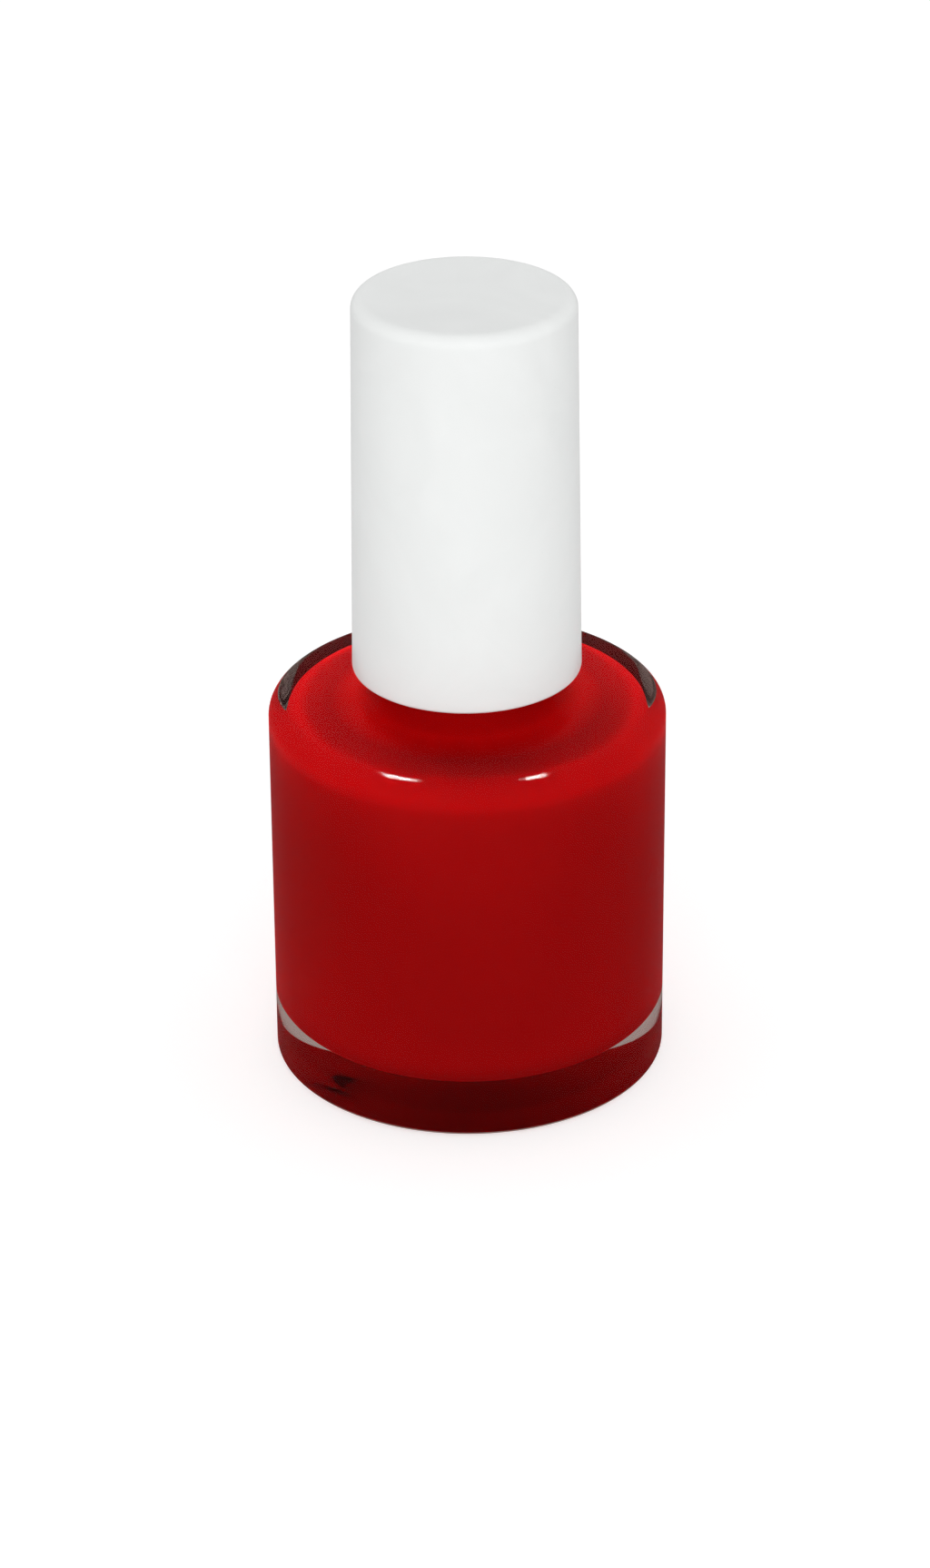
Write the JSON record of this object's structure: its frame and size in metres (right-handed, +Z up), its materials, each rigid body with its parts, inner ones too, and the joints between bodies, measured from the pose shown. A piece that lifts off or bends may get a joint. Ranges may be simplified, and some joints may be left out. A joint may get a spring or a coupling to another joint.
{
  "type": "nail polish bottle",
  "caption": "Round clear glass bottle of red nail lacquer with mixing balls, under a tall plain screw cap that carries the brush.",
  "frame": {"origin": "centre of the circle that the bottle stands on", "axes": "+Z up along the axis of the bottle, the cap and the brush; +X and +Y are level, and the mixing balls lie on the -X side"},
  "size_m": [0.028, 0.028, 0.058],
  "materials": {
    "bottle_glass": "polished",
    "lacquer": "gloss",
    "ball_steel": "polished",
    "liner_foam": "matte",
    "cap_plastic": "satin",
    "closure_plastic": "satin",
    "stem_plastic": "satin",
    "staple_brass": "polished",
    "bristle_nylon": "satin"
  },
  "bodies": {
    "bottle": {"bottle_glass": "bottle_glass", "nail_lacquer": "lacquer", "mixing_ball_1": "ball_steel", "mixing_ball_2": "ball_steel"},
    "liner": {"sealing_liner": "liner_foam"},
    "cap": {"cap_shell": "cap_plastic", "cap_inner_closure": "closure_plastic", "brush_stem": "stem_plastic", "brush_staple": "staple_brass", "brush_bristles": "bristle_nylon"}
  },
  "joints": [
    {"name": "cap_lift", "type": "slide", "parent": "bottle", "child": "liner", "axis": [0, 0, 1], "range_m": [0, 0.042]},
    {"name": "cap_turn", "type": "hinge", "parent": "liner", "child": "cap", "pos_m": [0, 0, 0.0417], "axis": [0, 0, 1], "range_deg": [0, 540]}
  ]
}
